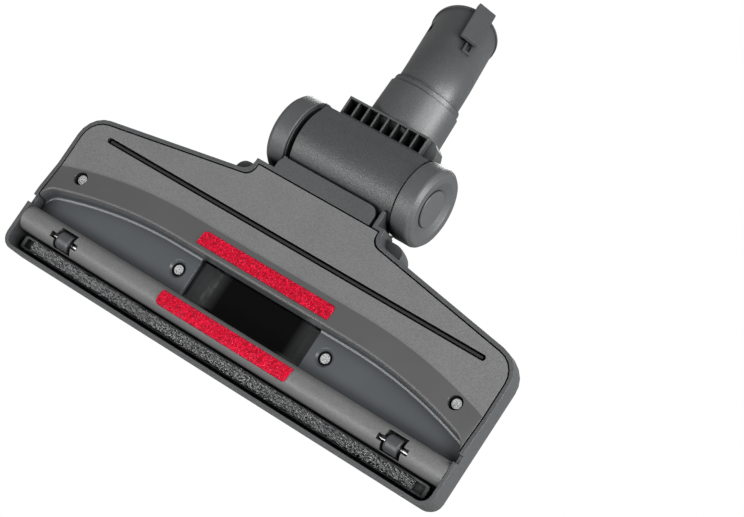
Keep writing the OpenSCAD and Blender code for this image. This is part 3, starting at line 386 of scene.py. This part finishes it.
strip_low, strip_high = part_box("front_bristles")
hair_pitch = 0.00055
hair_r = 0.00019
hair_sunk = 0.0004
hair_tip_share = 0.6
shortest_share = 0.86
lean_along, lean_across = 0.09, 0.11
hair_foot_z = strip_high.z - hair_sunk
end_taper_l = 0.004
end_share = 0.45
random.seed(7)

hair_form = bmesh.new()
bmesh.ops.create_cone(
    hair_form, segments=3, radius1=hair_r, radius2=hair_r * hair_tip_share, depth=1.0, cap_ends=True,
)
bmesh.ops.translate(hair_form, vec=(0, 0, 0.5), verts=hair_form.verts)
hair = bpy.data.meshes.new("hair")
hair_form.to_mesh(hair)
hair_form.free()

strip_form = bmesh.new()
columns = int((strip_high.x - strip_low.x) / hair_pitch)
rows = int((strip_high.y - strip_low.y) / hair_pitch)
for column in range(columns):
    for row in range(rows):
        foot = Vector((
            strip_low.x + (column + random.uniform(0.1, 0.9)) * hair_pitch,
            strip_low.y + (row + random.uniform(0.1, 0.9)) * hair_pitch,
            hair_foot_z,
        ))
        from_left = end_share + column * hair_pitch / end_taper_l
        from_right = end_share + (columns - column) * hair_pitch / end_taper_l
        ragged = min(1.0, from_left, from_right)
        length = (hair_foot_z - strip_low.z) * random.uniform(shortest_share, 1.0) * ragged
        tipped = Matrix.Rotation(random.gauss(0, lean_along), 4, "X")
        lean = tipped @ Matrix.Rotation(random.gauss(0, lean_across), 4, "Y")
        one = hair.copy()
        one.transform(Matrix.Translation(foot) @ lean @ Matrix.Diagonal((1, 1, -length, 1)))
        strip_form.from_mesh(one)
        bpy.data.meshes.remove(one)
bmesh.ops.recalc_face_normals(strip_form, faces=strip_form.faces)
strip_mesh = bpy.data.meshes.new("brush_strip")
strip_form.to_mesh(strip_mesh)
strip_form.free()
brush_strip = bpy.data.objects.new("brush_strip", strip_mesh)
bpy.context.scene.collection.objects.link(brush_strip)

nylon = bpy.data.materials.new("nylon_filament")
nylon.use_nodes = True
tree = nylon.node_tree
shader = tree.nodes["Principled BSDF"]
shader.inputs["Roughness"].default_value = 0.55
shader.inputs["IOR"].default_value = 1.53
place = add(tree, "ShaderNodeTexCoord").outputs["Object"]
tuft_size = 0.0010
each = add(tree, "ShaderNodeTexNoise", {"Vector": place, "Scale": 1 / tuft_size, "Detail": 2.0})
tuft = add(tree, "ShaderNodeMapRange", {"Value": each.outputs["Fac"], "From Min": 0.4, "From Max": 0.6})
tint = add(tree, "ShaderNodeMix", {
    "Factor": tuft.outputs["Result"], "A": linear("#101010"), "B": linear("#cfd0d1"),
}, data_type="RGBA")
tree.links.new(tint.outputs["Result"], shader.inputs["Base Color"])
strip_mesh.materials.append(nylon)
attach(brush_strip, "brush_lift")
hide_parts("front_bristles")


# ---- thread-lifting strips ----
# Red directional velvet, bonded into shallow seats on the front bar and behind the mouth. Its short
# pile leans one way and is set in slanting rows. The tips that catch the light are painted in as
# paler flecks, as painted highlights.

velvet = bpy.data.materials.new("red_lint_velvet")
velvet.use_nodes = True
tree = velvet.node_tree
shader = tree.nodes["Principled BSDF"]
shader.inputs["Roughness"].default_value = 0.8
shader.inputs["Specular IOR Level"].default_value = 0.25
shader.inputs["Sheen Weight"].default_value = 0.12
shader.inputs["Sheen Roughness"].default_value = 0.4
shader.inputs["Sheen Tint"].default_value = linear("#ff4a70")
place = add(tree, "ShaderNodeTexCoord").outputs["Object"]
row_pitch, row_slant = 0.0008, 0.6
turned = add(tree, "ShaderNodeMapping", {
    "Vector": place, "Rotation": (0.0, 0.0, row_slant), "Scale": (1 / row_pitch, 1 / row_pitch, 0.0),
})
rows = add(tree, "ShaderNodeTexVoronoi", {
    "Vector": turned.outputs["Vector"], "Scale": 1.0, "Randomness": 0.3,
})
chance = add(tree, "ShaderNodeSeparateColor", {"Color": rows.outputs["Color"]})
# Painted highlight: pale pink flecks at the row tips, put into the base colour.
tip = add(tree, "ShaderNodeMapRange", {
    "Value": rows.outputs["Distance"], "From Min": 0.32, "From Max": 0.12,
})
picked = add(tree, "ShaderNodeMapRange", {
    "Value": chance.outputs["Red"], "From Min": 0.35, "From Max": 0.95,
})
painted_highlight_fleck = add(tree, "ShaderNodeMath", {
    0: tip.outputs["Result"], 1: picked.outputs["Result"],
}, operation="MULTIPLY")
fuzz_size = 0.0007
fuzz = add(tree, "ShaderNodeTexNoise", {
    "Vector": place, "Scale": 1 / fuzz_size, "Detail": 4.0, "Roughness": 0.75,
})
mixed = add(tree, "ShaderNodeMath", {
    0: fuzz.outputs["Fac"], 1: chance.outputs["Green"],
}, operation="ADD")
spread = add(tree, "ShaderNodeMapRange", {"Value": mixed.outputs[0], "From Min": 0.45, "From Max": 1.45})
dye = add(tree, "ShaderNodeMix", {
    "Factor": spread.outputs["Result"], "A": linear("#98001a"), "B": linear("#dc0438"),
}, data_type="RGBA")
tips = add(tree, "ShaderNodeMix", {
    "Factor": painted_highlight_fleck.outputs[0], "A": dye.outputs["Result"], "B": linear("#ff6f9a"),
}, data_type="RGBA")
tree.links.new(tips.outputs["Result"], shader.inputs["Base Color"])
dress(velvet, "front_lint_strip", "rear_lint_strip")


def lay_pile(name, strip, pitch, reach):
    """Short fibres on the outer face of a strip, each standing on the face under it and leaning one way."""
    fibre_r, fibre_tip_r = 0.00016, 0.00005
    start_below = 0.01
    lean_x, lean_y, lean_spread = -0.45, 0.25, 0.15
    form = bmesh.new()
    form.from_mesh(nodes[strip].data)
    face_of = BVHTree.FromBMesh(form)
    form.free()
    low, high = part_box(strip)
    fibre_form = bmesh.new()
    bmesh.ops.create_cone(
        fibre_form, segments=3, radius1=fibre_r, radius2=fibre_tip_r, depth=reach, cap_ends=False,
    )
    bmesh.ops.translate(fibre_form, vec=(0, 0, reach / 2), verts=fibre_form.verts)
    fibre = bpy.data.meshes.new(name + "_fibre")
    fibre_form.to_mesh(fibre)
    fibre_form.free()
    pile_form = bmesh.new()
    for column in range(int((high.x - low.x) / pitch)):
        for row in range(int((high.y - low.y) / pitch)):
            x = low.x + (column + random.uniform(0.2, 0.8)) * pitch
            y = low.y + (row + random.uniform(0.2, 0.8)) * pitch
            from_below = Vector((x, y, low.z - start_below))
            foot, normal, _, _ = face_of.ray_cast(from_below, Vector((0, 0, 1)))
            if foot is None or normal.z > -0.5:
                continue
            sideways = lean_x + random.gauss(0, lean_spread)
            way = normal + Vector((sideways, lean_y + random.gauss(0, lean_spread), 0))
            lean = way.to_track_quat("Z", "Y").to_matrix().to_4x4()
            one = fibre.copy()
            one.transform(Matrix.Translation(foot) @ lean)
            pile_form.from_mesh(one)
            bpy.data.meshes.remove(one)
    pile_mesh = bpy.data.meshes.new(name)
    pile_form.to_mesh(pile_mesh)
    pile_form.free()
    pile_mesh.materials.append(velvet)
    pile = bpy.data.objects.new(name, pile_mesh)
    bpy.context.scene.collection.objects.link(pile)
    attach(pile, "head")


lay_pile("front_pile", "front_lint_strip", 0.00038, 0.0005)
lay_pile("rear_pile", "rear_lint_strip", 0.00038, 0.0005)
